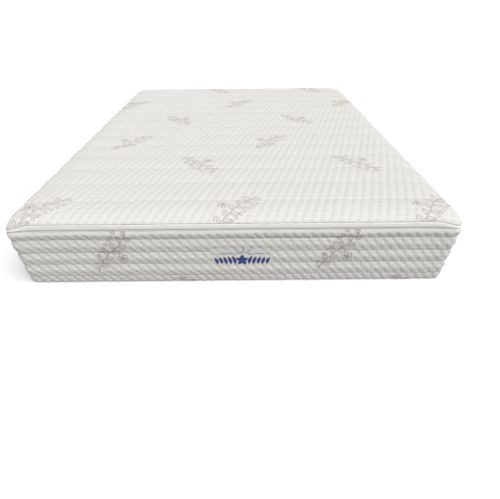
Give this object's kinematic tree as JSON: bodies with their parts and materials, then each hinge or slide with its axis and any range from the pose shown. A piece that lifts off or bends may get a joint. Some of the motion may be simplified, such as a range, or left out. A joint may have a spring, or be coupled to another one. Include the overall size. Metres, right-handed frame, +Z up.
{
  "type": "pressure relief mattress",
  "caption": "Foam pressure relief mattress in a quilted knit cover whose piped top zips off, with firm edge bolsters round a castellated foam core.",
  "frame": {"origin": "middle of the underside, on the surface that the mattress lies on", "axes": "+Z up; +Y towards the head end, along the length; +X to the right seen from the foot end"},
  "size_m": [1.524, 2.032, 0.27],
  "materials": {
    "cover_knit": "quilted jacquard knit, matt",
    "piping": "cord covered in cream fabric",
    "band": "plain woven strip",
    "wadding": "fibre wadding",
    "scrim": "thin non-woven",
    "base_cloth": "plain woven, with grip",
    "zip_tape": "woven tape",
    "zip_coil": "nylon coil",
    "slider_metal": "nickel-plated die casting",
    "emblem_thread": "satin-stitch embroidery",
    "label": "woven satin, blank",
    "memory_foam": "open-cell foam",
    "castellated_foam": "open-cell foam",
    "base_foam": "open-cell foam",
    "bolster_foam": "firm open-cell foam"
  },
  "bodies": {
    "mattress_base": {"base_panel": "base_cloth", "bottom_binding": "base_cloth", "border_face_knit": "cover_knit", "border_wadding": "wadding", "border_backing": "scrim", "lower_piping": "piping", "lower_zip_tape": "zip_tape", "lower_zip_coil": "zip_coil", "lower_zip_stops": "zip_coil", "zip_underlap": "zip_tape", "front_emblem": "emblem_thread", "care_label": "label", "base_foam": "base_foam", "bolster_left": "bolster_foam", "bolster_right": "bolster_foam", "bolster_head": "bolster_foam", "bolster_foot": "bolster_foam", "castellated_foam": "castellated_foam", "memory_foam_top": "memory_foam"},
    "top_cover": {"top_face_knit": "cover_knit", "top_wadding": "wadding", "top_backing": "scrim", "band": "band", "upper_piping": "piping", "upper_zip_tape": "zip_tape", "upper_zip_coil": "zip_coil", "upper_zip_stops": "zip_coil"},
    "zip_slider": {"slider_body": "slider_metal"},
    "zip_pull": {"pull_tab": "slider_metal"}
  },
  "joints": [
    {"name": "cover_lift", "type": "slide", "parent": "mattress_base", "child": "top_cover", "axis": [0, 0, 1], "range_m": [0, 0.35]},
    {"name": "zip_run", "type": "slide", "parent": "mattress_base", "child": "zip_slider", "axis": [-1, 0, 0], "range_m": [0, 1.3]},
    {"name": "pull_swing", "type": "hinge", "parent": "zip_slider", "child": "zip_pull", "pos_m": [0.65, 1.01115, 0.2215], "axis": [0, 0, -1], "range_deg": [0, 175]}
  ]
}
